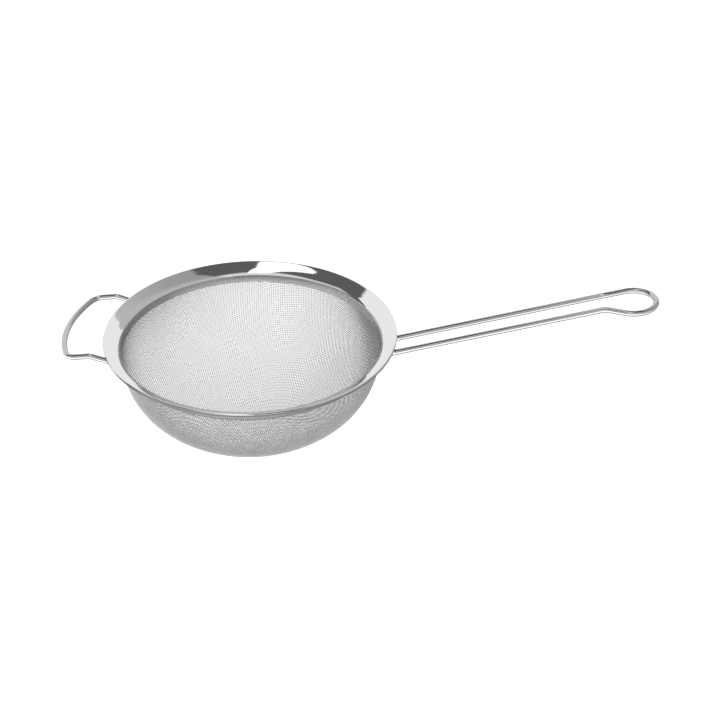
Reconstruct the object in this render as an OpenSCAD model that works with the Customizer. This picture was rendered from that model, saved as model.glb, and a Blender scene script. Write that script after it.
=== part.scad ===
// Round kitchen strainer: a woven wire bowl in a rolled steel rim, with a long
// handle bent from one wire and a short helper loop opposite it.
// Millimetres. The origin is the centre of the rolled edge, +Z is up along the
// bowl's axis and +X runs out along the long handle.

/* [Rim] */
// Outer diameter of the rim, over the rolled edge
rim_d = 200; // [180:1:230]
// Diameter of the rolled outer edge
bead_d = 2.3; // [2:0.1:2.6]
// Slope of the flange, down towards the bowl, in degrees
flange_angle = 25; // [22:1:27]
// Width of the flange, from the rolled edge in to its shoulder
flange_w = 5.5; // [5:0.1:7]
// Thickness of the rim's sheet steel
sheet_t = 0.8; // [0.6:0.1:0.9]
// Radius of the shoulder, where the flange starts to turn down
shoulder_bend = 12; // [10:0.5:14]
// Slope at which the shoulder ends and the tighter throat starts, in degrees
shoulder_angle = 45; // [40:1:50]
// Radius of the throat, where the flange turns down into the collar
throat_bend = 4.5; // [4:0.1:5]
// Lean of the collar towards the bowl's axis, in degrees from upright
collar_lean = 18; // [15:1:21]
// Height of the collar below the throat
collar_h = 4.5; // [4:0.1:5.5]

/* [Bowl] */
// Depth of the bowl below the centre of the rolled edge
bowl_depth = 79.3; // [76:0.1:90]
// Thickness of the woven cloth over its crossing wires
cloth_t = 0.75; // [0.5:0.05:0.8]
// Radius of the bowl's side in section
side_radius = 56; // [52:1:60]

/* [Retaining band] */
// Thickness of the band that holds the cloth on the collar
band_t = 0.6; // [0.4:0.1:0.8]

/* [Handle] */
// Diameter of the handle and helper wire
wire_d = 4; // [3.6:0.1:4.2]
// Distance between the two straight runs, centre to centre
handle_pitch = 18.4; // [16:0.2:20]
// Rise of the handle from the rim, in degrees
handle_rise = 17.1; // [15:0.1:20]
// Length of the straight runs from the rolled edge to the eye
handle_run = 144.9; // [100:0.1:200]
// Angle at which the hanging eye opens out from each run, in degrees
eye_flare = 20.4; // [15:0.1:25]
// Length of the eye's opening arms
eye_arm = 13.9; // [12:0.1:20]
// Slope of the eye, which is bent down from the handle's own, in degrees
eye_rise = 4.5; // [0:0.5:10]

/* [Helper loop] */
// Distance between the helper loop's two legs, centre to centre
helper_pitch = 79; // [70:1:84]
// Rise of the helper loop's legs from the rim, in degrees
helper_rise = 15.5; // [14:0.5:20]
// Length of each leg from the rolled edge to its bend
helper_leg = 12.1; // [10:0.1:16]
// Droop of the grip beyond the legs' bends, in degrees
helper_droop = 8.4; // [4:0.2:12]
// Straight length of the grip's sides
helper_side = 9.6; // [8:0.2:14]
// Radius of the grip's corners
helper_corner = 9.2; // [8:0.2:12]
// Turn of each corner of the grip, in degrees
helper_turn = 65.7; // [60:0.1:72]

/* [Hidden] */
$fn = 90;
wire_fn = 32;
steel = "#c9cbcc";
cloth = "#b4b6b6";
weld = "#8f8d88";

rim_r = rim_d / 2;
bead_r = bead_d / 2;
bead_c = rim_r - bead_r;
wire_r = wire_d / 2;
hair = 0.02;         // how much thicker a wire's bends are, in radius
overlap = 0.2;       // length of a straight run inside each bend that it meets
fit_gap = 0.02;      // clearance between welded pieces
bend_steps = 6;
bowl_steps = 12;

function polar(angle) = [cos(angle), sin(angle)];
function unit(v) = v / norm(v);

// Flange: its upper face is the line z = flange_top(r), tangent to the rolled edge.
function flange_top(r) = bead_r / cos(flange_angle) - (bead_c - r) * tan(flange_angle);
function flange_under(r) = flange_top(r) - sheet_t / cos(flange_angle);

// Shoulder and throat: the sheet turns down about shoulder_c, then more tightly
// about throat_c. Angles are those of the faces' outward directions from there.
shoulder_r = bead_c - flange_w;
flange_square = 90 + flange_angle;
throat_square = 90 + shoulder_angle;
collar_square = 180 - collar_lean;
shoulder_c = [shoulder_r, flange_top(shoulder_r)] - shoulder_bend * polar(flange_square);
throat_c = shoulder_c + (shoulder_bend - throat_bend) * polar(throat_square);

// Collar: a cone that starts at the end of the turn. collar_r(z, out) is its
// radius at height z, moved outwards square to its face by out.
collar_start = throat_c + throat_bend * polar(collar_square);
collar_end = collar_start.y - collar_h;
function collar_r(z, out = 0) =
    collar_start.x + (z - collar_start.y) * tan(collar_lean) + out / cos(collar_lean);

// Bowl section: a side arc that starts upright just below the collar, then a base
// arc tangent to it, which is part of a ball. Both are the cloth's outer face.
hem_top = collar_start.y - 0.5;
bowl_top = collar_end - 1;
bowl_r = collar_r(collar_end, sheet_t + cloth_t);
drop = bowl_depth + bowl_top;
base_radius = (bowl_r^2 + drop^2 - 2 * bowl_r * side_radius) / (2 * (drop - side_radius));
side_c = [bowl_r - side_radius, bowl_top];
base_c = [0, base_radius - bowl_depth];
blend = atan2(base_c.y - side_c.y, side_c.x);

// Points along an arc about c, in an outline.
function arc(c, r, from, to, steps) =
    [for (i = [0:steps]) c + r * polar(from + (to - from) * i / steps)];

// ---- sheet metal and cloth ----

module rim_ring() {
    color(steel) rotate_extrude() {
        translate([bead_c, 0]) circle(bead_r, $fn = 48);
        polygon(concat(
            [[bead_c, 0] + bead_r * polar(flange_square)],
            arc(shoulder_c, shoulder_bend, flange_square, throat_square, bend_steps),
            arc(throat_c, throat_bend, throat_square, collar_square, bend_steps),
            [[collar_r(collar_end), collar_end],
             [collar_r(collar_end, sheet_t), collar_end]],
            arc(throat_c, throat_bend - sheet_t, collar_square, throat_square, bend_steps),
            arc(shoulder_c, shoulder_bend - sheet_t, throat_square, flange_square,
                bend_steps),
            [[bead_c, flange_under(bead_c)],
             [bead_c, 0]]));
    }
}

module retaining_band() {
    inner = sheet_t + cloth_t + fit_gap;
    color(steel) rotate_extrude() polygon([
        [collar_r(hem_top, inner), hem_top],
        [collar_r(hem_top, inner + band_t), hem_top],
        [collar_r(collar_end, inner + band_t), collar_end],
        [collar_r(collar_end, inner), collar_end]]);
}

// Section of one face of the bowl, inset from its outer face.
function bowl_arc(inset) = concat(
    arc(side_c, side_radius - inset, 0, -blend, bowl_steps),
    [for (i = [1:bowl_steps - 1])
        base_c + (base_radius - inset) * polar(-blend - (90 - blend) * i / bowl_steps)],
    [[0, inset - bowl_depth]]);
function backwards(list) = [for (i = [len(list) - 1:-1:0]) list[i]];

module mesh_bowl() {
    hem_in = sheet_t + fit_gap;
    hem_out = sheet_t + cloth_t;
    color(cloth) rotate_extrude() polygon(concat(
        [[collar_r(hem_top, hem_in), hem_top],
         [collar_r(hem_top, hem_out), hem_top],
         [collar_r(collar_end, hem_out), collar_end]],
        bowl_arc(0),
        backwards(bowl_arc(cloth_t)),
        [[collar_r(collar_end, hem_in), collar_end]]));
}

// ---- bent wire ----

// Matrix that puts local X along x_way and local Z along z_way at point.
function frame_of(point, x_way, z_way) =
    let (y_way = cross(z_way, x_way))
    [[x_way.x, y_way.x, z_way.x, point.x],
     [x_way.y, y_way.y, z_way.y, point.y],
     [x_way.z, y_way.z, z_way.z, point.z],
     [0, 0, 0, 1]];

// Turn of a wire at b, and the length that a bend of radius r takes off each side.
function turn_at(a, b, c) = acos(unit(b - a) * unit(c - b));
function set_back(a, b, c, r) = r * tan(turn_at(a, b, c) / 2);

// A straight run. It reaches a little way into the bends that it meets, and those
// are a hair thicker, so that the two join cleanly.
module straight(from, to) {
    way = unit(to - from);
    multmatrix(frame_of(from, unit(cross([0, 1, 0], way)), way))
        cylinder(r = wire_r, h = norm(to - from), $fn = wire_fn);
}

module ring_bend(radius, turn, r = wire_r + hair) {
    rotate_extrude(angle = turn) translate([radius, 0]) circle(r, $fn = wire_fn);
}

module elbow(a, b, c, radius) {
    come = unit(b - a);
    go = unit(c - b);
    inward = unit(go - come * (go * come));
    centre = b - come * set_back(a, b, c, radius) + inward * radius;
    multmatrix(frame_of(centre, -inward, cross(-inward, come)))
        ring_bend(radius, turn_at(a, b, c));
}

// A wire through points, with a bend of radius bends[i - 1] at each inner point i.
// Another bend meets its far end.
module wire(points, bends) {
    last = len(points) - 1;
    for (i = [1:last]) {
        a = points[i - 1];
        b = points[i];
        way = unit(b - a);
        skip_a = i == 1 ? 0 : set_back(points[i - 2], a, b, bends[i - 2]) - overlap;
        skip_b = i == last ? 0 : set_back(a, b, points[i + 1], bends[i - 1]);
        straight(a + way * skip_a, b + way * (overlap - skip_b));
    }
    for (i = [1:last - 1])
        elbow(points[i - 1], points[i], points[i + 1], bends[i - 1]);
}

module both_sides() {
    children();
    mirror([0, 1, 0]) children();
}

// Each leg runs straight in under the rolled edge and ends below the shoulder. y is its
// distance from the handle's middle plane, and rise is its slope.
leg_in = 5.8;        // how far its end is inside the rolled edge's centre
leg_r = bead_c - leg_in;
function leg_x(y) = sqrt(bead_c^2 - y^2);
function leg_way(rise) = [cos(rise), 0, sin(rise)];
function leg_drop(y, rise) =
    (bead_r + wire_r + fit_gap)
    / abs(unit(cross([-y, leg_x(y), 0], leg_way(rise))).z);
function leg_point(x, y, rise) =
    [x, y, (x - leg_x(y)) * tan(rise) - leg_drop(y, rise)];
function leg_end(y, rise) = leg_point(sqrt(leg_r^2 - y^2), y, rise);
function leg_kink(y, rise, run) =
    leg_point(leg_x(y), y, rise) + run * leg_way(rise);

// Handle
kink_bend = 12;
handle_y = handle_pitch / 2;
handle_kink = leg_kink(handle_y, handle_rise, handle_run);
eye_r = (handle_y + eye_arm * sin(eye_flare)) / cos(eye_flare);
eye_start = handle_kink + eye_arm
    * [cos(eye_flare) * cos(eye_rise), sin(eye_flare), cos(eye_flare) * sin(eye_rise)];
eye_reach = eye_arm * cos(eye_flare) + eye_r * sin(eye_flare);

module handle_wire() {
    color(steel) {
        both_sides()
            wire([leg_end(handle_y, handle_rise), handle_kink, eye_start], [kink_bend]);
        translate([handle_kink.x, 0, handle_kink.z]) rotate([0, -eye_rise, 0])
            translate([eye_reach, 0, 0]) rotate([0, 0, -90 - eye_flare])
                ring_bend(eye_r, 180 + 2 * eye_flare);
    }
}

// Helper loop, built towards +X and turned round to the rim's other side
grip_bend = 8;
helper_y = helper_pitch / 2;
helper_kink = leg_kink(helper_y, helper_rise, helper_leg);
side_end = helper_kink + helper_side * [cos(helper_droop), 0, -sin(helper_droop)];
grip_half = 90 - helper_turn;
grip_r = (helper_y - helper_corner * (1 - sin(grip_half))) / sin(grip_half);
grip_overlap = overlap / grip_r * 180 / PI;
grip_x = helper_side - (grip_r - helper_corner) * cos(grip_half);

module helper_wire() {
    color(steel) rotate([0, 0, 180]) {
        both_sides()
            wire([leg_end(helper_y, helper_rise), helper_kink, side_end], [grip_bend]);
        translate([helper_kink.x, 0, helper_kink.z]) rotate([0, helper_droop, 0]) {
            both_sides()
                translate([helper_side, helper_y - helper_corner, 0])
                    rotate([0, 0, grip_half]) ring_bend(helper_corner, helper_turn);
            translate([grip_x, 0, 0]) rotate([0, 0, -grip_half - grip_overlap])
                ring_bend(grip_r, 2 * (grip_half + grip_overlap), wire_r);
        }
    }
}

// Projection weld: a short stub of metal between a leg and the flange above it.
weld_r = 1.3;
weld_at = bead_c - 0.65 * leg_in;
weld_cut = 8;        // how far along the leg the stub is cut to its curve

module weld_stub(y, rise) {
    on_wire = leg_point(sqrt(weld_at^2 - y^2), y, rise);
    outward = [on_wire.x, on_wire.y, 0] / weld_at;
    up = [-outward.x * sin(flange_angle), -outward.y * sin(flange_angle),
          cos(flange_angle)];
    height = (flange_under(weld_at) - on_wire.z) * cos(flange_angle) - fit_gap;
    difference() {
        multmatrix(frame_of(on_wire, unit(cross([0, 1, 0], up)), up))
            cylinder(r = weld_r, h = height, $fn = wire_fn);
        multmatrix(frame_of(leg_end(y, rise), [0, 1, 0], leg_way(rise)))
            cylinder(r = wire_r + fit_gap, h = weld_cut, $fn = wire_fn);
    }
}

module handle_welds() {
    color(weld) both_sides() weld_stub(handle_y, handle_rise);
}

module helper_welds() {
    color(weld) rotate([0, 0, 180]) both_sides() weld_stub(helper_y, helper_rise);
}

rim_ring();
retaining_band();
mesh_bowl();
handle_wire();
helper_wire();
handle_welds();
helper_welds();
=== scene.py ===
"""A round kitchen strainer in polished steel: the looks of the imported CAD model.

The row frame has its origin at the centre of the rolled edge, +Z up and +X along the
long handle. Lengths are in millimetres until a mesh is made from them in metres, and
the studio at the end is in metres.
"""

import math

import bmesh
import bpy
import numpy as np
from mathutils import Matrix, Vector, noise


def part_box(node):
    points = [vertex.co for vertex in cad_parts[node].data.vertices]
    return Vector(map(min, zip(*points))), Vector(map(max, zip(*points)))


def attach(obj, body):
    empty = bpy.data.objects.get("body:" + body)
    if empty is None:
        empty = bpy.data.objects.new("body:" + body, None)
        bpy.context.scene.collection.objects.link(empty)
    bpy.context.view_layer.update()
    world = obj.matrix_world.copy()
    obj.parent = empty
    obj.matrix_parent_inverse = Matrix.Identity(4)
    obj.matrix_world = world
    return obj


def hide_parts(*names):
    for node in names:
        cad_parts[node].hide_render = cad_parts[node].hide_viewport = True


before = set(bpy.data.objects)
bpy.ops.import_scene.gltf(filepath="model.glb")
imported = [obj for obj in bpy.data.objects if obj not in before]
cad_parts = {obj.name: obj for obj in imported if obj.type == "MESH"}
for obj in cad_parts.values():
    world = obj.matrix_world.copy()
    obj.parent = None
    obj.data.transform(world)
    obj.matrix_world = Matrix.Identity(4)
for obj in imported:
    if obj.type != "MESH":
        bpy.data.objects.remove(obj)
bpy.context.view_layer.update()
MM = 0.001

# ---------------------------------------------------------------- dimensions

RIM_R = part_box("rim_ring")[1].x / MM
BOWL_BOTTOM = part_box("mesh_bowl")[0].z / MM
GAP = 0.02              # clearance between pieces that are fixed together

# Rim: rolled edge, flange, shoulder, throat and collar
BEAD_R = 1.15
BEAD_C = RIM_R - BEAD_R
SHEET = 0.8
FLANGE_SLOPE = math.radians(25)
FLANGE_W = 5.5
FLANGE_CROWN = 0.03     # how far the flange bulges in the middle of its width
SHOULDER_R = 12.0
SHOULDER_SLOPE = math.radians(45)
THROAT_R = 4.5
COLLAR_LEAN = math.radians(18)
COLLAR_H = 4.5
CURL_END = math.radians(-163)
SEAM_W = 0.16           # width of the seam where the rolled edge closes
LIP_R = 0.2             # rounding of the collar's lower edge

# Bowl of woven cloth, and the band over its hem
CLOTH_T = 0.75
CLOTH_WIRE = 0.38
CLOTH_PITCH = 1.37
CLOTH_TURN = math.radians(-4)
SIDE_RADIUS = 56.0
CONE_H = 1.0            # height of the bowl's straight stretch below the collar
HEM_DROP = 0.5          # how far the band's top lies below the throat
HEM_INSET = 0.4         # how far the cloth's edge lies below the band's top
CLOTH_SPARE = 4.0       # cloth worked out beyond that edge, which is then cut off
BAND_T = 0.6
BAND_EDGE = 0.15        # easing of the band's edges

# Wires of the handle and the helper loop
WIRE_R = 2.0
CUT_ROUND = 0.25        # rounding of the wires' cut ends
HANDLE_Y = 9.2          # half the distance between the handle's two runs
HANDLE_RISE = math.radians(17.1)
HANDLE_RUN = 144.9
HANDLE_BEND = 12.0
EYE_FLARE = math.radians(20.4)
EYE_ARM = 13.9
EYE_RISE = math.radians(4.5)

HELPER_Y = 39.5         # half the distance between the helper loop's two legs
HELPER_RISE = math.radians(15.5)
HELPER_LEG = 12.1
HELPER_BEND = 8.0
HELPER_DROOP = math.radians(8.4)
HELPER_SIDE = 9.6
HELPER_CORNER = 9.2
HELPER_TURN = math.radians(65.7)

# Ends of the wires under the flange, and the weld metal there
LEG_IN = 5.8            # how far a wire reaches in from the rolled edge
LEG_R = BEAD_C - LEG_IN
WELD_AT = BEAD_C - 0.65 * LEG_IN
WELD_LONG = 2.6
WELD_WIDE = 1.6
WELD_BITE = 0.3         # how far the weld metal reaches into what it joins
WELD_RIPPLE = 0.14


def polar(angle, r=1.0):
    return np.array([math.cos(angle), math.sin(angle)]) * r


def arc(centre, r, start, end, steps):
    return [centre + polar(start + (end - start) * i / steps, r) for i in range(steps + 1)]


def unit(v):
    return v / np.linalg.norm(v)


def unit_rows(v):
    return v / np.linalg.norm(v, axis=1)[:, None]


def flange_top(r):
    return BEAD_R / math.cos(FLANGE_SLOPE) - (BEAD_C - r) * math.tan(FLANGE_SLOPE)


def flange_under(r):
    return flange_top(r) - SHEET / math.cos(FLANGE_SLOPE)


FLANGE_SQUARE = math.pi / 2 + FLANGE_SLOPE
THROAT_SQUARE = math.pi / 2 + SHOULDER_SLOPE
COLLAR_SQUARE = math.pi - COLLAR_LEAN
SHOULDER_START = BEAD_C - FLANGE_W
SHOULDER_C = (np.array([SHOULDER_START, flange_top(SHOULDER_START)])
              - polar(FLANGE_SQUARE, SHOULDER_R))
THROAT_C = SHOULDER_C + polar(THROAT_SQUARE, SHOULDER_R - THROAT_R)
COLLAR_START = THROAT_C + polar(COLLAR_SQUARE, THROAT_R)
COLLAR_END = COLLAR_START[1] - COLLAR_H
HEM_TOP = COLLAR_START[1] - HEM_DROP


def collar_r(z, out=0.0):
    """Radius of the collar's inner face at height z, moved outwards square to it by out."""
    rise = (z - COLLAR_START[1]) * math.tan(COLLAR_LEAN)
    return COLLAR_START[0] + rise + out / math.cos(COLLAR_LEAN)


# ---------------------------------------------------------------- node helpers


class Nodes:
    """Builds a node tree in few words. An input is a node socket, a plain number, or a
    colour as red, green and blue."""

    def __init__(self, tree):
        self.tree = tree
        tree.nodes.clear()

    def add(self, kind, **settings):
        node = self.tree.nodes.new(kind)
        for name, value in settings.items():
            setattr(node, name, value)
        return node

    def set(self, socket, value):
        if isinstance(value, bpy.types.NodeSocket):
            self.tree.links.new(value, socket)
        elif isinstance(value, tuple):
            socket.default_value = (*value, 1)
        else:
            socket.default_value = value

    def split(self, vector):
        node = self.add("ShaderNodeSeparateXYZ")
        self.set(node.inputs[0], vector)
        return node.outputs

    def math(self, operation, a, b=0.0):
        node = self.add("ShaderNodeMath", operation=operation)
        self.set(node.inputs[0], a)
        self.set(node.inputs[1], b)
        return node.outputs[0]

    def dot(self, vector, direction):
        node = self.add("ShaderNodeVectorMath", operation="DOT_PRODUCT")
        self.set(node.inputs[0], vector)
        node.inputs[1].default_value = direction
        return node.outputs["Value"]

    def ramp(self, value, low, high, out_low=0.0, out_high=1.0):
        """Rises smoothly from out_low to out_high as value goes from low to high."""
        node = self.add("ShaderNodeMapRange", interpolation_type="SMOOTHSTEP")
        self.set(node.inputs["Value"], value)
        self.set(node.inputs["From Min"], low)
        self.set(node.inputs["From Max"], high)
        self.set(node.inputs["To Min"], out_low)
        self.set(node.inputs["To Max"], out_high)
        return node.outputs["Result"]

    def blend(self, part, a, b):
        """Colour a where part is 0, and colour b where it is 1."""
        node = self.add("ShaderNodeMix", data_type="RGBA")
        self.set(node.inputs[0], part)
        self.set(node.inputs[6], a)
        self.set(node.inputs[7], b)
        return node.outputs[2]

    def noise(self, vector, scale, detail=2.0, rough=0.5):
        node = self.add("ShaderNodeTexNoise")
        self.set(node.inputs["Vector"], vector)
        node.inputs["Scale"].default_value = scale
        node.inputs["Detail"].default_value = detail
        node.inputs["Roughness"].default_value = rough
        return node.outputs["Fac"]

    def stretch(self, vector, scale):
        node = self.add("ShaderNodeMapping")
        self.set(node.inputs["Vector"], vector)
        node.inputs["Scale"].default_value = scale
        return node.outputs["Vector"]

    def bump(self, height, distance):
        node = self.add("ShaderNodeBump")
        self.set(node.inputs["Height"], height)
        node.inputs["Distance"].default_value = distance
        return node.outputs["Normal"]


def metal(name, colour):
    """A metal material, its node builder, its shader node and its object coordinates."""
    material = bpy.data.materials.new(name)
    material.use_nodes = True
    n = Nodes(material.node_tree)
    shader = n.add("ShaderNodeBsdfPrincipled")
    n.set(shader.inputs["Base Color"], colour)
    shader.inputs["Metallic"].default_value = 1.0
    out = n.add("ShaderNodeOutputMaterial")
    n.set(out.inputs["Surface"], shader.outputs["BSDF"])
    coords = n.add("ShaderNodeTexCoord")
    return material, n, shader, coords


# ---------------------------------------------------------------- materials


def polished_sheet():
    """Mirror-polished spun sheet with faint turning rings and softer patches. The collar
    is satin, and so is the lower side of the rolled edge, whose colour is darkened as painted
    shade."""
    mirror = (0.9, 0.9, 0.89)
    satin = (0.46, 0.46, 0.455)
    # painted shade: the colour given to the outer, lower side of the rolled edge
    dark = (0.15, 0.15, 0.149)
    material, n, shader, coords = metal("polished_sheet", mirror)
    place = coords.outputs["Object"]
    x, y, z = n.split(place)
    radius = n.math("ADD", n.math("POWER", x, 2.0), n.math("POWER", y, 2.0))
    radius = n.math("SQRT", radius)
    rings = n.add("ShaderNodeCombineXYZ")
    n.set(rings.inputs[0], radius)
    n.set(rings.inputs[1], z)
    turning = n.noise(rings.outputs[0], 2600.0, 2.0)
    patches = n.noise(place, 38.0, 3.0)
    # 1 on the collar, from the foot of the throat down
    collar_top, soft = COLLAR_START[1], 0.2
    collar = n.ramp(z, (collar_top - soft) * MM, (collar_top + soft) * MM, 1.0, 0.0)
    # 1 on the outer and lower side of the rolled edge, which gets the painted shade colour
    outside = n.ramp(radius, (BEAD_C + 0.5) * MM, (BEAD_C + 0.8) * MM)
    edge = n.math("MULTIPLY", outside, n.ramp(z, 0.4 * MM, 0.7 * MM, 1.0, 0.0))
    # the painted shade is laid over the mirror and the satin collar
    n.set(shader.inputs["Base Color"], n.blend(edge, n.blend(collar, mirror, satin), dark))
    gloss = n.ramp(patches, 0.3, 0.75, 0.02, 0.06)
    roughened = n.math("MULTIPLY", n.math("MAXIMUM", collar, edge), 0.24)
    n.set(shader.inputs["Roughness"], n.math("ADD", gloss, roughened))
    n.set(shader.inputs["Normal"], n.bump(turning, 0.0000012))
    return material


def drawn_wire():
    """Polished round wire with faint drawing lines along it, its underside coloured darker as
    painted shade. U runs round the wire from its top, so its bottom is where U is a half."""
    bright = (0.6, 0.6, 0.595)
    # painted shade: the colour of the wire's underside
    painted_underside_shade = (0.2, 0.2, 0.198)
    material, n, shader, coords = metal("drawn_wire", bright)
    round_it = n.split(coords.outputs["UV"])[0]
    from_bottom = n.math("ABSOLUTE", n.math("SUBTRACT", round_it, 0.5))
    # 1 on the underside, which is painted darker as shade
    under = n.ramp(from_bottom, 0.17, 0.29, 1.0, 0.0)
    n.set(shader.inputs["Base Color"], n.blend(under, bright, painted_underside_shade))
    lines = n.noise(n.stretch(coords.outputs["UV"], (46.0, 9.0, 1.0)), 1.0, 4.0, 0.6)
    patches = n.noise(coords.outputs["Object"], 120.0, 3.0)
    n.set(shader.inputs["Roughness"], n.ramp(patches, 0.3, 0.75, 0.09, 0.2))
    n.set(shader.inputs["Normal"], n.bump(lines, 0.000018))
    return material


def woven_wire():
    """Fine bright cloth wire, a little duller in patches where the press rubbed it."""
    material, n, shader, coords = metal("woven_wire", (0.47, 0.47, 0.463))
    rubbed = n.noise(coords.outputs["Object"], 60.0, 4.0)
    n.set(shader.inputs["Roughness"], n.ramp(rubbed, 0.3, 0.7, 0.22, 0.4))
    return material


def rolled_band():
    """Plain strip, less polished than the rim, with rolling lines along it."""
    material, n, shader, coords = metal("rolled_band", (0.3, 0.3, 0.296))
    place = coords.outputs["Object"]
    lines = n.noise(n.stretch(place, (40.0, 40.0, 3000.0)), 1.0, 3.0)
    n.set(shader.inputs["Roughness"], n.ramp(lines, 0.3, 0.7, 0.3, 0.46))
    n.set(shader.inputs["Normal"], n.bump(lines, 0.000006))
    return material


def weld_metal():
    """Satin weld metal with a straw-coloured heat tint in patches."""
    steel = (0.5, 0.49, 0.48)
    straw = (0.42, 0.34, 0.24)
    material, n, shader, coords = metal("weld_metal", steel)
    place = coords.outputs["Object"]
    heat = n.noise(place, 420.0, 3.0)
    n.set(shader.inputs["Base Color"], n.blend(n.ramp(heat, 0.35, 0.65), steel, straw))
    grain = n.noise(place, 2400.0, 4.0)
    n.set(shader.inputs["Roughness"], n.ramp(grain, 0.3, 0.7, 0.35, 0.55))
    n.set(shader.inputs["Normal"], n.bump(grain, 0.00008))
    return material


# ---------------------------------------------------------------- mesh helpers


def mesh_piece(name, points, faces, material, uv=None, sharp=None):
    """A smooth mesh object from points in millimetres and an array of quads."""
    points = np.asarray(points, float) * MM
    faces = np.asarray(faces, np.int32)
    mesh = bpy.data.meshes.new(name)
    mesh.vertices.add(len(points))
    mesh.vertices.foreach_set("co", points.astype(np.float32).ravel())
    mesh.loops.add(faces.size)
    mesh.loops.foreach_set("vertex_index", faces.ravel())
    mesh.polygons.add(len(faces))
    mesh.polygons.foreach_set("loop_start", np.arange(len(faces), dtype=np.int32) * 4)
    if uv is not None:
        layer = mesh.uv_layers.new(name="UVMap")
        layer.data.foreach_set("uv", np.asarray(uv, np.float32).ravel())
    mesh.update(calc_edges=True)
    mesh.validate()
    mesh.shade_smooth()
    if sharp is not None:
        mesh.set_sharp_from_angle(angle=math.radians(sharp))
    mesh.materials.append(material)
    piece = bpy.data.objects.new(name, mesh)
    bpy.context.scene.collection.objects.link(piece)
    return piece


def lathe(name, outline, material, segments=512):
    """Turns a closed outline of (radius, height) points round the axis."""
    outline = np.array(outline)
    count = len(outline)
    angles = np.arange(segments) * 2 * math.pi / segments
    x = np.outer(np.cos(angles), outline[:, 0])
    y = np.outer(np.sin(angles), outline[:, 0])
    z = np.tile(outline[:, 1], (segments, 1))
    points = np.stack([x, y, z], -1).reshape(-1, 3)
    a, i = np.meshgrid(np.arange(segments), np.arange(count), indexing="ij")
    b, k = (a + 1) % segments, (i + 1) % count
    faces = np.stack([a * count + i, b * count + i, b * count + k, a * count + k], -1)
    return mesh_piece(name, points, faces.reshape(-1, 4), material, sharp=40)


def tube_points(path, up, side, radii, sides):
    """Rings of points round a path, one after another. Each starts on the up side."""
    turn = np.arange(sides) * 2 * math.pi / sides
    ring = (np.cos(turn)[None, :, None] * up[:, None, :]
            + np.sin(turn)[None, :, None] * side[:, None, :])
    return (path[:, None, :] + ring * radii[:, None, None]).reshape(-1, 3)


def tube_faces(rings, sides):
    a, i = np.meshgrid(np.arange(rings - 1), np.arange(sides), indexing="ij")
    k = (i + 1) % sides
    quads = np.stack([a * sides + i, a * sides + k, (a + 1) * sides + k, (a + 1) * sides + i], -1)
    return quads.reshape(-1, 4)


def bent_wire(name, path, material, sides=28):
    """A round wire along a smooth path, with slightly rounded cut ends. U runs round the
    wire from its top, and V along it in metres."""
    tip_r = 0.01
    path = np.array(path)
    ways = unit_rows(np.gradient(path, axis=0))
    first, last = ways[0], ways[-1]
    path = np.vstack([path[0], path[0], path[0] + first * CUT_ROUND, path[1:-1],
                      path[-1] - last * CUT_ROUND, path[-1], path[-1]])
    ways = np.vstack([first, first, first, ways[1:-1], last, last, last])
    radii = np.full(len(path), WIRE_R)
    radii[[0, -1]] = tip_r
    radii[[1, -2]] = WIRE_R - CUT_ROUND
    across = unit_rows(np.cross([0, 0, 1.0], ways))
    points = tube_points(path, np.cross(ways, across), across, radii, sides)
    along = np.concatenate([[0], np.cumsum(np.linalg.norm(np.diff(path, axis=0), axis=1))])
    a, i = np.meshgrid(np.arange(len(path) - 1), np.arange(sides), indexing="ij")
    corner_u = np.stack([i, i + 1, i + 1, i], -1) / sides
    corner_v = along[np.stack([a, a, a + 1, a + 1], -1)] * MM
    uv = np.stack([corner_u, corner_v], -1).reshape(-1, 2)
    return mesh_piece(name, points, tube_faces(len(path), sides), material, uv=uv, sharp=40)


# ---------------------------------------------------------------- rim and band


def rim_outline():
    """Section of the rim: the sheet turns over at the edge and closes on its underside."""
    crown = []
    for part in (0.2, 0.4, 0.6, 0.8):
        r = SHOULDER_START + part * FLANGE_W * math.cos(FLANGE_SLOPE)
        on_flange = np.array([r, flange_top(r)])
        crown.append(on_flange + polar(FLANGE_SQUARE, 4 * FLANGE_CROWN * part * (1 - part)))
    curl = arc(np.array([BEAD_C, 0]), BEAD_R, FLANGE_SQUARE, CURL_END, 40)
    seam_r = curl[-1][0] + SEAM_W
    lip_z = COLLAR_END + LIP_R
    near_lip = np.array([collar_r(lip_z, LIP_R), lip_z])
    far_lip = np.array([collar_r(lip_z, SHEET - LIP_R), lip_z])
    return (
        arc(near_lip, LIP_R, 1.5 * math.pi, COLLAR_SQUARE, 4)
        + arc(THROAT_C, THROAT_R, COLLAR_SQUARE, THROAT_SQUARE, 16)
        + arc(SHOULDER_C, SHOULDER_R, THROAT_SQUARE, FLANGE_SQUARE, 12)[1:]
        + crown
        + curl
        + [np.array([seam_r, flange_under(seam_r)])]
        + arc(SHOULDER_C, SHOULDER_R - SHEET, FLANGE_SQUARE, THROAT_SQUARE, 12)
        + arc(THROAT_C, THROAT_R - SHEET, THROAT_SQUARE, COLLAR_SQUARE, 16)[1:]
        + arc(far_lip, LIP_R, -COLLAR_LEAN, -math.pi / 2, 4)
    )


def band_outline():
    """Section of the band: a strip that leans as the collar does, with eased edges."""
    inner = SHEET + CLOTH_T + GAP
    outer = inner + BAND_T
    edge = BAND_EDGE
    return [
        np.array([collar_r(z, out), z])
        for z, out in (
            (HEM_TOP - edge, inner), (HEM_TOP, inner + edge),
            (HEM_TOP, outer - edge), (HEM_TOP - edge, outer),
            (COLLAR_END + edge, outer), (COLLAR_END, outer - edge),
            (COLLAR_END, inner + edge), (COLLAR_END + edge, inner),
        )
    ]


# ---------------------------------------------------------------- woven bowl


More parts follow.
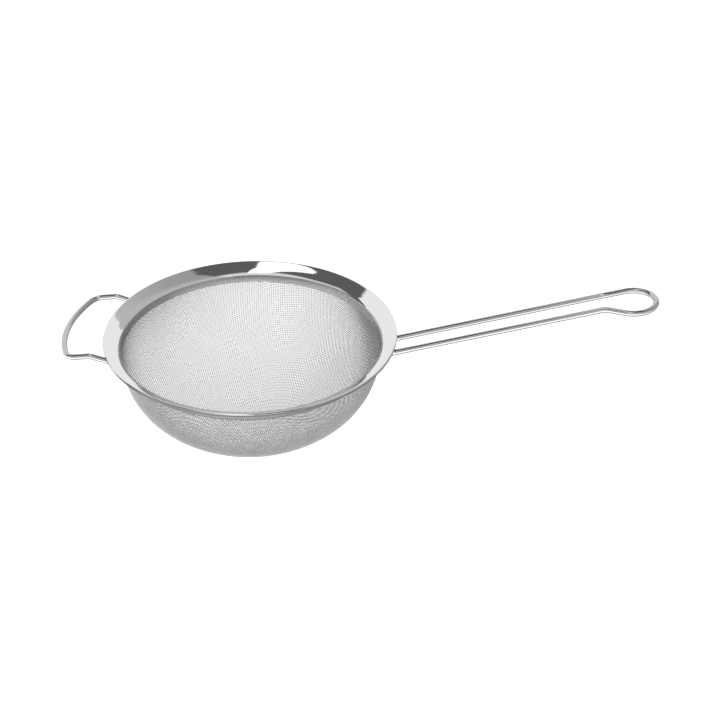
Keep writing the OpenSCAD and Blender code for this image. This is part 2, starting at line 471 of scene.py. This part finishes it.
def cloth_section():
    """Middle face of the cloth, as points from the bowl's pole up to its hidden hem and
    on to the end of the spare cloth."""
    half = CLOTH_T / 2
    top = COLLAR_END - CONE_H
    bowl_r = collar_r(COLLAR_END, SHEET + CLOTH_T)
    drop = top - BOWL_BOTTOM
    base_radius = (bowl_r**2 + drop**2 - 2 * bowl_r * SIDE_RADIUS) / (2 * (drop - SIDE_RADIUS))
    side_c = np.array([bowl_r - SIDE_RADIUS, top])
    base_c = np.array([0.0, BOWL_BOTTOM + base_radius])
    blend = math.atan2(base_c[1] - side_c[1], side_c[0])
    base = arc(base_c, base_radius - half, -math.pi / 2, -blend, 600)
    side = arc(side_c, SIDE_RADIUS - half, -blend, 0, 400)
    hem = [np.array([collar_r(z, SHEET + half), z])
           for z in (COLLAR_END, HEM_TOP - HEM_INSET)]
    spare = hem[1] + unit(hem[1] - hem[0]) * CLOTH_SPARE
    return np.array(base + side[1:] + hem + [spare])


class Section:
    """The cloth's section by distance along it from the pole. Its last point is the end of
    the spare cloth, and the one before it is where the cloth is cut off."""

    def __init__(self):
        points = cloth_section()
        steps = np.linalg.norm(np.diff(points, axis=0), axis=1)
        self.s = np.concatenate([[0], np.cumsum(steps)])
        self.points = points
        self.end = self.s[-2]
        self.way = np.gradient(points, self.s, axis=0)

    def at(self, s):
        """Radius and height at distance s."""
        return [np.interp(s, self.s, self.points[:, k]) for k in (0, 1)]

    def slope(self, s):
        """How fast the radius and the height grow with s."""
        return [np.interp(s, self.s, self.way[:, k]) for k in (0, 1)]

    def place(self, s, angle):
        r, z = self.at(s)
        return np.stack([r * np.cos(angle), r * np.sin(angle), z], -1)

    def normal(self, s, angle):
        dr, dz = self.slope(s)
        size = np.hypot(dr, dz)
        return np.stack([dz * np.cos(angle), dz * np.sin(angle), -dr], -1) / size[..., None]


def pressed_net(section):
    """How square cloth lies when it is pressed into the bowl: its wires keep their
    length, so every crossing is one pitch from its two neighbours. One quarter, as
    arrays of distance from the pole and angle, by wire number each way. Each crossing
    is solved by Newton's method from those before it."""
    rounds = 12
    most_s, most_angle = 0.5, 0.05      # largest change in one round
    close = 0.05                        # error of a solved crossing, in square millimetres
    tiny = 1e-9
    count = int(section.s[-1] / CLOTH_PITCH)
    s = np.full((count, count), np.nan)
    angle = np.full((count, count), np.nan)
    s[:, 0] = s[0, :] = np.arange(count) * CLOTH_PITCH
    angle[:, 0] = 0
    angle[0, :] = math.pi / 2
    for total in range(2, 2 * count - 1):
        i = np.arange(max(1, total - count + 1), min(total, count))
        j = total - i
        keep = ~np.isnan(s[i - 1, j]) & ~np.isnan(s[i, j - 1])
        i, j = i[keep], j[keep]
        if not len(i):
            break
        left = section.place(s[i - 1, j], angle[i - 1, j])
        below = section.place(s[i, j - 1], angle[i, j - 1])
        corner = section.place(s[i - 1, j - 1], angle[i - 1, j - 1])
        guess = left + below - corner
        u = s[i - 1, j] + s[i, j - 1] - s[i - 1, j - 1]
        v = np.arctan2(guess[:, 1], guess[:, 0])
        for _ in range(rounds):
            here = section.place(u, v)
            r = section.at(u)[0]
            dr, dz = section.slope(u)
            by_u = np.stack([dr * np.cos(v), dr * np.sin(v), dz], -1)
            by_v = np.stack([-r * np.sin(v), r * np.cos(v), 0 * r], -1)
            a, b = here - left, here - below
            f = (a * a).sum(1) - CLOTH_PITCH**2
            g = (b * b).sum(1) - CLOTH_PITCH**2
            fu, fv = 2 * (a * by_u).sum(1), 2 * (a * by_v).sum(1)
            gu, gv = 2 * (b * by_u).sum(1), 2 * (b * by_v).sum(1)
            det = fu * gv - fv * gu
            det = np.where(abs(det) < tiny, tiny, det)
            u = u - np.clip((f * gv - g * fv) / det, -most_s, most_s)
            v = v - np.clip((g * fu - f * gu) / det, -most_angle, most_angle)
        good = (u < section.s[-1]) & (abs(f) < close) & (abs(g) < close)
        s[i[good], j[good]] = u[good]
        angle[i[good], j[good]] = v[good]
    return s, angle


def cloth_wire_path(section, s_row, angle_row, number, lift):
    """Half a wire, from the quarter's edge outwards: its crossings and the points
    between them, lifted to pass over and under the wires that it crosses."""
    known = int(np.argmax(np.isnan(s_row))) if np.isnan(s_row).any() else len(s_row)
    inside = np.nonzero(s_row[:known] <= section.end)[0]
    if len(inside) == 0:
        return None
    last = inside[-1]
    s, angle = list(s_row[: last + 1]), list(angle_row[: last + 1])
    steps = list(range(last + 1))
    if last + 1 < known:
        part = (section.end - s[-1]) / (s_row[last + 1] - s[-1])
        s.append(section.end)
        angle.append(angle[-1] + part * (angle_row[last + 1] - angle[-1]))
        steps.append(last + part)
    s, angle, steps = np.array(s), np.array(angle), np.array(steps, float)
    fine = np.unique(np.concatenate([np.arange(0, steps[-1], 0.5), [steps[-1]]]))
    spots = section.place(s, angle)
    ways = section.normal(s, angle)
    spots = np.stack([np.interp(fine, steps, spots[:, k]) for k in range(3)], -1)
    ways = np.stack([np.interp(fine, steps, ways[:, k]) for k in range(3)], -1)
    wave = lift * np.cos(math.pi * (fine + number))
    return spots + ways * wave[:, None], ways


def cloth_wires(section, s, angle, weft):
    """Every wire of one family from rim to rim, as its points and the cloth's normals."""
    lift = (CLOTH_T - CLOTH_WIRE) / 2
    to_far_half = np.array([1.0, -1.0, 1.0])
    to_other_side = np.array([-1.0, 1.0, 1.0])
    if weft:
        s, angle, lift = s.T, angle.T, -lift
        to_far_half, to_other_side = to_other_side, to_far_half
    wires = []
    for number, (s_row, angle_row) in enumerate(zip(s, angle)):
        half = cloth_wire_path(section, s_row, angle_row, number, lift)
        if half is None or len(half[0]) < 3:
            break
        spots, ways = [np.vstack([(part * to_far_half)[:0:-1], part]) for part in half]
        wires.append((spots, ways))
        if number:
            wires.append((spots * to_other_side, ways * to_other_side))
    return wires


def in_bundles(wires, bundles):
    """Splits the wires into runs that have about as many points each."""
    share = sum(len(spots) for spots, ways in wires) / bundles
    runs, filled = [[]], 0
    for wire in wires:
        if filled >= share * len(runs):
            runs.append([])
        runs[-1].append(wire)
        filled += len(wire[0])
    return runs


def weave(section, sides=5, bundles=4):
    """All the cloth's wires, as a few pieces for each direction."""
    s, angle = pressed_net(section)
    turn = np.array([[math.cos(CLOTH_TURN), -math.sin(CLOTH_TURN), 0],
                     [math.sin(CLOTH_TURN), math.cos(CLOTH_TURN), 0], [0, 0, 1]])
    material = woven_wire()
    pieces = []
    for family in ("warp", "weft"):
        wires = cloth_wires(section, s, angle, weft=family == "weft")
        for number, run_of_wires in enumerate(in_bundles(wires, bundles), start=1):
            points, faces, base = [], [], 0
            for spots, ways in run_of_wires:
                along = unit_rows(np.gradient(spots, axis=0))
                side = unit_rows(np.cross(along, ways))
                up = np.cross(side, along)
                radii = np.full(len(spots), CLOTH_WIRE / 2)
                points.append(tube_points(spots, up, side, radii, sides) @ turn.T)
                faces.append(tube_faces(len(spots), sides) + base)
                base += len(points[-1])
            piece = mesh_piece(f"cloth_{family}_{number}", np.vstack(points),
                               np.vstack(faces), material)
            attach(piece, "root")
            pieces.append(piece)
    return pieces


# ---------------------------------------------------------------- bent wires


def leg_x(y):
    """Where a leg at y crosses the rolled edge."""
    return math.sqrt(BEAD_C**2 - y**2)


def leg_point(x, y, rise):
    """A point of a leg's centre line, which passes just under the rolled edge."""
    way = np.array([math.cos(rise), 0, math.sin(rise)])
    square = unit(np.cross([-y, leg_x(y), 0], way))
    drop = (BEAD_R + WIRE_R + GAP) / abs(square[2])
    return np.array([x, y, (x - leg_x(y)) * math.tan(rise) - drop])


def leg_end(y, rise):
    """Where a leg's wire ends under the flange."""
    return leg_point(math.sqrt(LEG_R**2 - y**2), y, rise)


def rounded(a, b, c, radius, steps=14):
    """The bend of a path a, b, c at b."""
    come, go = unit(b - a), unit(c - b)
    turn = math.acos(float(np.clip(come @ go, -1, 1)))
    back = radius * math.tan(turn / 2)
    inward = unit(go - come * (go @ come))
    centre = b - come * back + inward * radius
    angles = np.linspace(0, turn, steps)
    return [centre + radius * (math.sin(t) * come - math.cos(t) * inward) for t in angles]


def run(a, b, spacing=3.0):
    """Points between a and b, without the ends."""
    count = max(2, int(np.linalg.norm(b - a) / spacing))
    return [a + (b - a) * i / count for i in range(1, count)]


def mirrored(half):
    """A path and its reflection in the handle's middle plane, as one path."""
    half = np.array(half)
    return np.vstack([half, (half * [1, -1, 1])[::-1]])


def handle_path():
    """Centre line of the handle: two runs that kink and open into the hanging eye."""
    start = leg_end(HANDLE_Y, HANDLE_RISE)
    way = np.array([math.cos(HANDLE_RISE), 0, math.sin(HANDLE_RISE)])
    lean = np.array([math.cos(EYE_RISE), 0, math.sin(EYE_RISE)])
    outset = leg_point(leg_x(HANDLE_Y), HANDLE_Y, HANDLE_RISE)
    kink = outset + HANDLE_RUN * way
    arm = EYE_ARM * (math.cos(EYE_FLARE) * lean + np.array([0, math.sin(EYE_FLARE), 0]))
    eye_start = kink + arm
    eye_r = (HANDLE_Y + EYE_ARM * math.sin(EYE_FLARE)) / math.cos(EYE_FLARE)
    reach = EYE_ARM * math.cos(EYE_FLARE) + eye_r * math.sin(EYE_FLARE)
    centre = kink * [1, 0, 1] + reach * lean
    bend = rounded(start, kink, eye_start, HANDLE_BEND)
    angles = np.linspace(math.pi / 2 + EYE_FLARE, 0, 30)
    eye = [centre + eye_r * (math.cos(t) * lean + np.array([0, math.sin(t), 0])) for t in angles]
    half = [start] + run(start, bend[0]) + bend + run(bend[-1], eye[0]) + eye[:-1]
    return mirrored(half)


def helper_path():
    """Centre line of the helper loop: two legs that bend down into the rounded grip."""
    start = leg_end(HELPER_Y, HELPER_RISE)
    way = np.array([math.cos(HELPER_RISE), 0, math.sin(HELPER_RISE)])
    lean = np.array([math.cos(HELPER_DROOP), 0, -math.sin(HELPER_DROOP)])
    out = np.array([0, 1.0, 0])
    kink = leg_point(leg_x(HELPER_Y), HELPER_Y, HELPER_RISE) + HELPER_LEG * way
    side_end = kink + HELPER_SIDE * lean
    half_turn = math.pi / 2 - HELPER_TURN
    grip_r = (HELPER_Y - HELPER_CORNER * (1 - math.sin(half_turn))) / math.sin(half_turn)
    grip_x = HELPER_SIDE - (grip_r - HELPER_CORNER) * math.cos(half_turn)
    bend = rounded(start, kink, side_end, HELPER_BEND)
    corner_c = side_end - HELPER_CORNER * out
    corner = [corner_c + HELPER_CORNER * (math.cos(t) * lean + math.sin(t) * out)
              for t in np.linspace(math.pi / 2, half_turn, 16)]
    middle = kink * [1, 0, 1] + grip_x * lean
    grip = [middle + grip_r * (math.cos(t) * lean + math.sin(t) * out)
            for t in np.linspace(half_turn, 0, 14)]
    half = ([start] + run(start, bend[0]) + bend + run(bend[-1], corner[0])
            + corner + grip[1:-1])
    return mirrored(half) * [-1, -1, 1]


def weld_lump(name, y, rise, way_x, material):
    """Weld metal squeezed up between a leg and the flange above it. way_x is 1 on the
    handle's side of the rim and -1 on the helper loop's."""
    on_wire = leg_point(math.sqrt(WELD_AT**2 - y**2), y, rise)
    outward = np.array([on_wire[0], on_wire[1], 0]) / WELD_AT
    up = outward * -math.sin(FLANGE_SLOPE) + np.array([0, 0, math.cos(FLANGE_SLOPE)])
    gap = (flange_under(WELD_AT) - on_wire[2]) * math.cos(FLANGE_SLOPE) - WIRE_R
    along = unit(np.array([math.cos(rise), 0, math.sin(rise)]))
    across = unit(np.cross(up, along))
    middle = on_wire + up * (WIRE_R + gap / 2)
    own_ripple = Vector((y, way_x, 0))
    shape = bmesh.new()
    bmesh.ops.create_icosphere(shape, subdivisions=4, radius=1.0)
    for vertex in shape.verts:
        ripple = 1 + WELD_RIPPLE * noise.noise(vertex.co * 2.4 + own_ripple)
        length, width, height = vertex.co
        offset = (along * length * WELD_LONG + across * width * WELD_WIDE
                  + up * height * (gap / 2 + WELD_BITE))
        spot = middle + offset * ripple
        vertex.co = Vector(spot * [way_x, way_x, 1]) * MM
    mesh = bpy.data.meshes.new(name)
    shape.to_mesh(mesh)
    shape.free()
    mesh.shade_smooth()
    mesh.materials.append(material)
    lump = bpy.data.objects.new(name, mesh)
    bpy.context.scene.collection.objects.link(lump)
    return lump


# ---------------------------------------------------------------- the strainer

rim = lathe("rim_sheet", rim_outline(), polished_sheet())
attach(rim, "root")
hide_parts("rim_ring")

band = lathe("hem_band", band_outline(), rolled_band(), segments=360)
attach(band, "root")
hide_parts("retaining_band")

cloth = weave(Section())
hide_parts("mesh_bowl")

wire_material = drawn_wire()
handle = bent_wire("handle_bent_wire", handle_path(), wire_material)
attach(handle, "root")
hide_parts("handle_wire")

helper = bent_wire("helper_bent_wire", helper_path(), wire_material)
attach(helper, "root")
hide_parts("helper_wire")

weld_material = weld_metal()
for label, y, rise, way_x in (
    ("handle_weld", HANDLE_Y, HANDLE_RISE, 1),
    ("helper_weld", HELPER_Y, HELPER_RISE, -1),
):
    for side, sign in (("left", 1), ("right", -1)):
        lump = weld_lump(f"{label}_{side}", y * sign, rise, way_x, weld_material)
        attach(lump, "root")
        if sign == 1:
            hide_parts(f"{label}s")

# ---------------------------------------------------------------- studio

scene = bpy.context.scene
scene.view_settings.view_transform = "Standard"
scene.cycles.denoising_prefilter = "NONE"


def studio_world():
    """A pale studio by direction: a white wall behind and to the left, a grey one to the
    right, a dark ceiling, a bright sky and two windows in front, and light from below
    that is strongest in front. Plain white to the camera."""
    horizon, ceiling = 0.6, 0.11
    grey_wall, grey_wall_top = 0.5, 0.34
    white_wall = 0.88
    front_sky = 0.72
    left_pane, right_pane = 0.62, 0.85
    below_back, below_front = 0.6, 2.1

    world = bpy.data.worlds.new("studio")
    world.use_nodes = True
    scene.world = world
    n = Nodes(world.node_tree)
    way = n.add("ShaderNodeTexCoord").outputs["Generated"]
    x, y, height = n.split(way)
    azimuth = n.math("ARCTAN2", y, x)

    def within(value, low, high, soft):
        rise = n.ramp(value, low - soft, low + soft)
        fall = n.ramp(value, high - soft, high + soft, 1.0, 0.0)
        return n.math("MULTIPLY", rise, fall)

    def both(a, b):
        return n.math("MINIMUM", a, b)

    def window(bottom, top, left, right):
        """A soft-edged pane between two heights, and between two azimuths in degrees."""
        across = within(azimuth, math.radians(left), math.radians(right), 0.08)
        return both(within(height, bottom, top, 0.04), across)

    def lay(under, mask, level):
        """A brightness laid over what is under it, where the mask is 1."""
        node = n.add("ShaderNodeMix", data_type="FLOAT")
        n.set(node.inputs[0], mask)
        n.set(node.inputs[2], under)
        n.set(node.inputs[3], level)
        return node.outputs[0]

    light = n.ramp(height, 0.0, 0.16, horizon, ceiling)
    in_front = both(n.ramp(n.dot(way, (0, -1, 0)), 0.33, 0.55), n.ramp(height, 0.2, 0.3))
    light = lay(light, in_front, front_sky)
    light = lay(light, window(0.3, 0.66, -176, -124), left_pane)
    light = lay(light, window(0.17, 0.6, -64, -34), right_pane)

    on_the_right = n.ramp(n.dot(way, (1, 0.408, -0.358)), -0.045, -0.005)
    light = lay(light, on_the_right, n.ramp(height, 0.6, 0.95, grey_wall, grey_wall_top))

    below_top_edge = n.ramp(n.dot(way, (-0.4, 1, -0.965)), -0.025, 0.025)
    left_of_corner = n.ramp(n.dot(way, (-0.674, 0.578, -0.459)), -0.015, 0.025)
    behind = n.ramp(n.dot(way, (0.27, 1, 0)), -0.02, 0.03)
    light = lay(light, both(both(below_top_edge, left_of_corner), behind), white_wall)

    towards_front = n.ramp(n.dot(way, (-0.4, -0.9, 0)), -0.9, 0.9, below_back, below_front)
    light = lay(light, n.ramp(height, -0.02, 0.0, 1.0, 0.0), towards_front)

    seen = n.add("ShaderNodeBackground")
    n.set(seen.inputs["Color"], (1, 1, 1))
    felt = n.add("ShaderNodeBackground")
    n.set(felt.inputs["Color"], light)
    mix = n.add("ShaderNodeMixShader")
    rays = n.add("ShaderNodeLightPath")
    n.set(mix.inputs[0], rays.outputs["Is Camera Ray"])
    n.set(mix.inputs[1], felt.outputs[0])
    n.set(mix.inputs[2], seen.outputs[0])
    out = n.add("ShaderNodeOutputWorld")
    n.set(out.inputs["Surface"], mix.outputs[0])


def overhead_softbox():
    """A long soft light high above the strainer's left front, turned a little."""
    data = bpy.data.lights.new("overhead", "AREA")
    data.shape = "RECTANGLE"
    data.size, data.size_y = 0.385, 1.5
    data.energy = 2.0
    light = bpy.data.objects.new("overhead", data)
    light.location = (-0.19, -0.19, 1.5)
    light.rotation_euler = (0, 0, math.radians(14))
    scene.collection.objects.link(light)


def pale_floor():
    """A wide white table, faintly lit from within as light tables are. The metal mirrors
    the studio's own light from below in its place."""
    half_width = 5.0
    clearance = 0.0002
    level = BOWL_BOTTOM * MM - clearance
    mesh = bpy.data.meshes.new("floor")
    corners = [(x * half_width, y * half_width, level)
               for x, y in ((-1, -1), (1, -1), (1, 1), (-1, 1))]
    mesh.from_pydata(corners, [], [(0, 1, 2, 3)])
    floor = bpy.data.objects.new("floor", mesh)
    scene.collection.objects.link(floor)
    material = bpy.data.materials.new("floor")
    material.use_nodes = True
    shader = material.node_tree.nodes["Principled BSDF"]
    shader.inputs["Base Color"].default_value = (0.9, 0.9, 0.9, 1)
    shader.inputs["Roughness"].default_value = 0.9
    shader.inputs["Specular IOR Level"].default_value = 0.0
    shader.inputs["Emission Color"].default_value = (1, 1, 1, 1)
    shader.inputs["Emission Strength"].default_value = 0.84
    mesh.materials.append(material)
    floor.visible_glossy = False


def studio_camera():
    """Looks down on the strainer from in front, a little from its right."""
    looks_down, turned = math.radians(32.65), math.radians(6)
    data = bpy.data.cameras.new("camera")
    data.lens = 84.13
    data.sensor_width = 36
    camera = bpy.data.objects.new("camera", data)
    camera.location = (0.1762, -0.9628, 0.6038)
    camera.rotation_euler = (math.pi / 2 - looks_down, 0, turned)
    scene.collection.objects.link(camera)
    scene.camera = camera


studio_world()
overhead_softbox()
pale_floor()
studio_camera()
